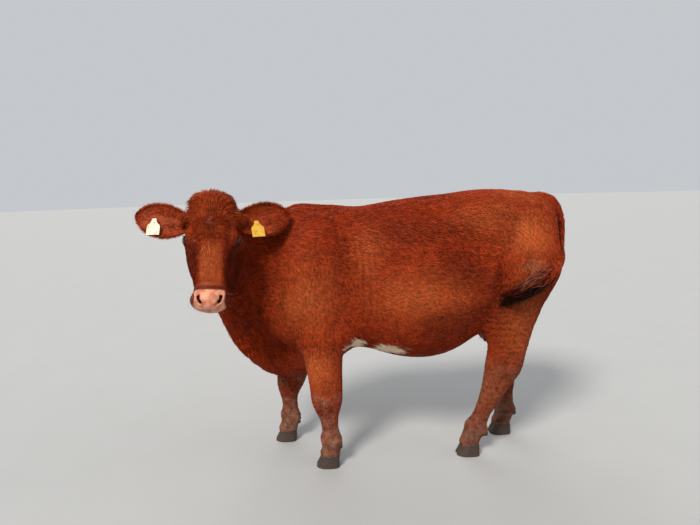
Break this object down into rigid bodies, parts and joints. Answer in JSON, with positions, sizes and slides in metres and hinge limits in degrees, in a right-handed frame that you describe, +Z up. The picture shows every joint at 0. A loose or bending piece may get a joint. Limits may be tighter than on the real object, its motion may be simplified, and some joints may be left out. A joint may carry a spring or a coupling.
{
  "type": "cow",
  "caption": "Life-size standing red-brown polled cow, head turned to look out to its left, with bare plastic tags in both ears; it stands by itself on its hooves.",
  "frame": {"origin": "centre of the bounding box at floor level", "axes": "-X towards the head end and +X towards the tail, along the back; -Y is the animal's left side, to which the head is turned; +Z up from the floor"},
  "size_m": [2.019, 0.869, 1.3582],
  "materials": {
    "coat": "short glossy red-brown cattle coat, dusty grey-brown on the lower legs",
    "udder_skin": "soft bare pinkish skin",
    "hoof_horn": "dull dark horn with growth rings, muddy",
    "eye_wet": "wet and dark",
    "tag_yellow": "flexible moulded plastic, slightly dirty",
    "tag_cream": "flexible moulded plastic, slightly dirty"
  },
  "bodies": {
    "root": {"claw_fore_left_a": "hoof_horn", "claw_fore_left_b": "hoof_horn", "claw_fore_right_a": "hoof_horn", "claw_fore_right_b": "hoof_horn", "claw_hind_left_a": "hoof_horn", "claw_hind_left_b": "hoof_horn", "claw_hind_right_a": "hoof_horn", "claw_hind_right_b": "hoof_horn", "dewclaw_fore_left_a": "hoof_horn", "dewclaw_fore_left_b": "hoof_horn", "dewclaw_fore_right_a": "hoof_horn", "dewclaw_fore_right_b": "hoof_horn", "dewclaw_hind_left_a": "hoof_horn", "dewclaw_hind_left_b": "hoof_horn", "dewclaw_hind_right_a": "hoof_horn", "dewclaw_hind_right_b": "hoof_horn", "ear_left": "coat", "ear_right": "coat", "eye_left": "eye_wet", "eye_right": "eye_wet", "head": "coat", "leg_fore_left_lower": "coat", "leg_fore_left_upper": "coat", "leg_fore_right_lower": "coat", "leg_fore_right_upper": "coat", "leg_hind_left_lower": "coat", "leg_hind_left_upper": "coat", "leg_hind_right_lower": "coat", "leg_hind_right_upper": "coat", "neck": "coat", "tag_left": "tag_yellow", "tag_left_button": "tag_yellow", "tag_right": "tag_cream", "tag_right_button": "tag_cream", "tail_dock": "coat", "tail_middle": "coat", "tail_switch": "coat", "trunk": "coat", "udder": "udder_skin"}
  },
  "joints": []
}
